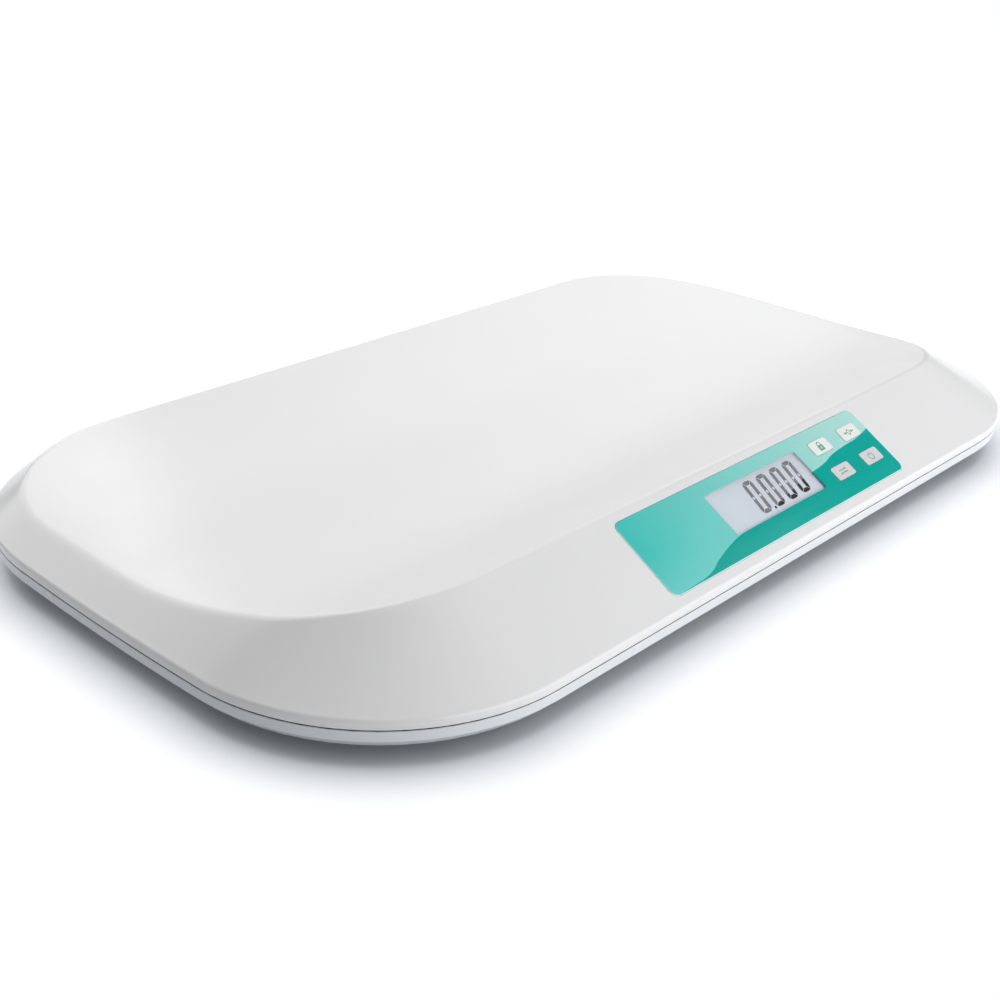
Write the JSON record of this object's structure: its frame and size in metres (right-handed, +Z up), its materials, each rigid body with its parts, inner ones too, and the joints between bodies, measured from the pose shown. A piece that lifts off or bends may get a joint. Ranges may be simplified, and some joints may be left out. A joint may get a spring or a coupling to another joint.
{
  "type": "digital baby weighing scale",
  "caption": "Low baby weighing scale: dished moulded tray with a sloping display panel and press keys, on a base pan with load-cell feet and a battery door.",
  "frame": {"origin": "middle of the body's plan, on the floor under the rubber pads", "axes": "+X along the tray's length, +Z up, -Y towards the display side"},
  "size_m": [0.55, 0.315, 0.0487],
  "materials": {
    "shell_white": "glossy moulded",
    "base_white": "satin moulded",
    "panel_teal": "glossy printed",
    "lens_clear": "clear",
    "lcd_grey": "grey liquid crystal",
    "frame_white": "matt moulded",
    "strip_rubber": "soft",
    "board_green": "solder mask",
    "chip_black": "matt",
    "steel": "zinc plated",
    "cell_steel": "brushed",
    "plunger_brass": "plain",
    "key_white": "satin moulded",
    "foot_grey": "matt moulded",
    "pad_rubber": "matt rubber",
    "battery_label": "sleeve",
    "lead_grey": "sheath",
    "lead_red": "sheath"
  },
  "bodies": {
    "casing": {"tray": "shell_white", "base_pan": "base_white", "panel_overlay": "panel_teal", "display_lens": "lens_clear", "lcd_glass": "lcd_grey", "lcd_frame": "frame_white", "backlight": "frame_white", "contact_strips": "strip_rubber", "main_board": "board_green", "board_chips": "chip_black", "board_connector": "frame_white", "board_screws": "steel", "switch_bodies": "chip_black", "load_cell_front_left": "cell_steel", "load_cell_front_right": "cell_steel", "load_cell_back_left": "cell_steel", "load_cell_back_right": "cell_steel", "cell_clamp_front_left": "frame_white", "cell_clamp_front_right": "frame_white", "cell_clamp_back_left": "frame_white", "cell_clamp_back_right": "frame_white", "cell_screws": "steel", "casing_screws": "steel", "batteries": "battery_label", "battery_springs": "steel", "battery_plates": "steel", "cell_lead_front_left": "lead_grey", "cell_lead_front_right": "lead_grey", "cell_lead_back_left": "lead_grey", "cell_lead_back_right": "lead_grey", "battery_lead": "lead_red"},
    "key_lock": {"key_lock": "key_white", "plunger_lock": "plunger_brass"},
    "key_tare": {"key_tare": "key_white", "plunger_tare": "plunger_brass"},
    "key_unit": {"key_unit": "key_white", "plunger_unit": "plunger_brass"},
    "key_power": {"key_power": "key_white", "plunger_power": "plunger_brass"},
    "foot_front_left": {"foot_front_left": "foot_grey", "foot_pad_front_left": "pad_rubber", "foot_screw_front_left": "steel"},
    "foot_front_right": {"foot_front_right": "foot_grey", "foot_pad_front_right": "pad_rubber", "foot_screw_front_right": "steel"},
    "foot_back_left": {"foot_back_left": "foot_grey", "foot_pad_back_left": "pad_rubber", "foot_screw_back_left": "steel"},
    "foot_back_right": {"foot_back_right": "foot_grey", "foot_pad_back_right": "pad_rubber", "foot_screw_back_right": "steel"},
    "battery_door": {"battery_door": "base_white"}
  },
  "joints": [
    {"name": "press_lock", "type": "slide", "parent": "casing", "child": "key_lock", "axis": [0, 0.4955, -0.8686], "range_m": [0, 0.0004], "stiffness_N_per_m": 3000},
    {"name": "press_tare", "type": "slide", "parent": "casing", "child": "key_tare", "axis": [0, 0.4955, -0.8686], "range_m": [0, 0.0004], "stiffness_N_per_m": 3000},
    {"name": "press_unit", "type": "slide", "parent": "casing", "child": "key_unit", "axis": [0, 0.4955, -0.8686], "range_m": [0, 0.0004], "stiffness_N_per_m": 3000},
    {"name": "press_power", "type": "slide", "parent": "casing", "child": "key_power", "axis": [0, 0.4955, -0.8686], "range_m": [0, 0.0004], "stiffness_N_per_m": 3000},
    {"name": "load_front_left", "type": "slide", "parent": "casing", "child": "foot_front_left", "axis": [0, 0, 1], "range_m": [0, 0.0004], "stiffness_N_per_m": 2500, "springref_m": -0.0015, "deforming": ["load_cell_front_left"]},
    {"name": "load_front_right", "type": "slide", "parent": "casing", "child": "foot_front_right", "axis": [0, 0, 1], "range_m": [0, 0.0004], "stiffness_N_per_m": 2500, "springref_m": -0.0015, "deforming": ["load_cell_front_right"]},
    {"name": "load_back_left", "type": "slide", "parent": "casing", "child": "foot_back_left", "axis": [0, 0, 1], "range_m": [0, 0.0004], "stiffness_N_per_m": 2500, "springref_m": -0.0015, "deforming": ["load_cell_back_left"]},
    {"name": "load_back_right", "type": "slide", "parent": "casing", "child": "foot_back_right", "axis": [0, 0, 1], "range_m": [0, 0.0004], "stiffness_N_per_m": 2500, "springref_m": -0.0015, "deforming": ["load_cell_back_right"]},
    {"name": "door_hinge", "type": "hinge", "parent": "casing", "child": "battery_door", "pos_m": [-0.03, 0.04, 0.009], "axis": [0, 1, 0], "range_deg": [0, 60]}
  ]
}
